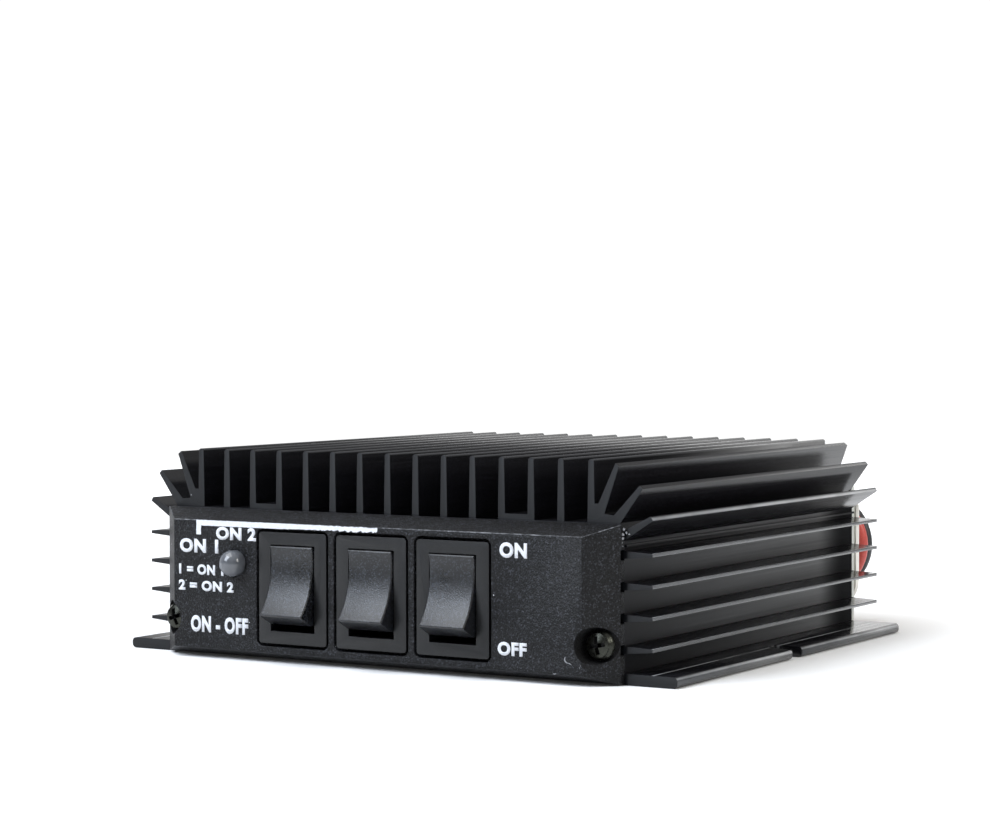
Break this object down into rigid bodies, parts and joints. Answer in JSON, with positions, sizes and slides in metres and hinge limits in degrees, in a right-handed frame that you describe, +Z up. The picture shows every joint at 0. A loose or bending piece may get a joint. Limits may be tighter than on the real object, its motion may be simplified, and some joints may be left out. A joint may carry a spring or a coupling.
{
  "type": "radio linear amplifier",
  "caption": "Compact black finned amplifier with mounting flanges, a chamfered front panel with rocker switches and a lamp, rear coaxial sockets and a two-wire supply lead.",
  "frame": {"origin": "middle of the underside, on the bottom cover's outer face", "axes": "+X to the right seen from the front, +Y from the front panel to the rear panel, +Z up through the fins"},
  "size_m": [0.121, 0.1604, 0.0398],
  "materials": {
    "black_anodised": "black anodised extrusion",
    "black_plate": "black painted sheet",
    "panel_plastic": "fine sandy texture",
    "nylon": "black nylon",
    "rocker_plastic": "fine texture",
    "tinned_brass": "tinned",
    "milky_lens": "milky diffusing lens",
    "nickel": "nickel plated",
    "insulator": "phenolic",
    "rubber": "moulded",
    "red_insulation": "soft insulation",
    "black_insulation": "soft insulation",
    "board_laminate": "glass-epoxy laminate",
    "component_black": "moulded",
    "pale_insulator": "pale insulator",
    "ferrite": "sintered ferrite",
    "filter_core": "coated powder core",
    "copper": "enamelled copper",
    "brown_ceramic": "dipped",
    "black_steel": "black oxide",
    "bright_steel": "zinc plated"
  },
  "bodies": {
    "case": {"antenna_relays": "component_black", "bias_trimmer": "brown_ceramic", "black_wire": "black_insulation", "black_wire_coil": "black_insulation", "board_screws": "bright_steel", "board_spacers": "tinned_brass", "bottom_cover": "black_plate", "bottom_cover_screws": "black_steel", "circuit_board": "board_laminate", "coil_tie": "nylon", "damping_resistors": "pale_insulator", "electrolytic_capacitors": "component_black", "filter_cores": "filter_core", "filter_windings": "copper", "front_panel": "panel_plastic", "front_panel_screws": "black_steel", "heatsink": "black_anodised", "input_socket_contact": "tinned_brass", "input_socket_insulator": "insulator", "input_socket_shell": "nickel", "input_transformer_cores": "ferrite", "input_transformer_winding": "pale_insulator", "lamp_legs": "tinned_brass", "lamp_wires": "black_insulation", "lead_grommet": "rubber", "left_switch_housing": "nylon", "mica_capacitors": "brown_ceramic", "middle_switch_housing": "nylon", "output_socket_contact": "tinned_brass", "output_socket_insulator": "insulator", "output_socket_shell": "nickel", "output_transformer_cores": "ferrite", "output_transformer_sleeves": "tinned_brass", "output_transformer_winding": "pale_insulator", "power_transistors": "component_black", "rear_panel": "black_plate", "red_wire": "red_insulation", "red_wire_coil": "red_insulation", "right_switch_housing": "nylon", "socket_links": "copper", "socket_nuts": "bright_steel", "socket_screws": "black_steel", "status_lamp": "milky_lens", "supply_wires": "black_insulation", "switch_terminals": "tinned_brass", "switch_wires": "black_insulation", "transistor_insulators": "pale_insulator", "transistor_screws": "bright_steel", "wire_tips": "tinned_brass"},
    "left_rocker_body": {"left_rocker": "rocker_plastic"},
    "middle_rocker_body": {"middle_rocker": "rocker_plastic"},
    "right_rocker_body": {"right_rocker": "rocker_plastic"}
  },
  "joints": [
    {"name": "left_rocker_pivot", "type": "hinge", "parent": "case", "child": "left_rocker_body", "pos_m": [-0.0172, -0.0529, 0.0142], "axis": [1, 0, 0], "range_deg": [0, 30.6]},
    {"name": "middle_rocker_pivot", "type": "hinge", "parent": "case", "child": "middle_rocker_body", "pos_m": [0.0005, -0.0529, 0.0142], "axis": [1, 0, 0], "range_deg": [0, 30.6]},
    {"name": "right_rocker_pivot", "type": "hinge", "parent": "case", "child": "right_rocker_body", "pos_m": [0.0182, -0.0529, 0.0142], "axis": [1, 0, 0], "range_deg": [0, 30.6]}
  ]
}
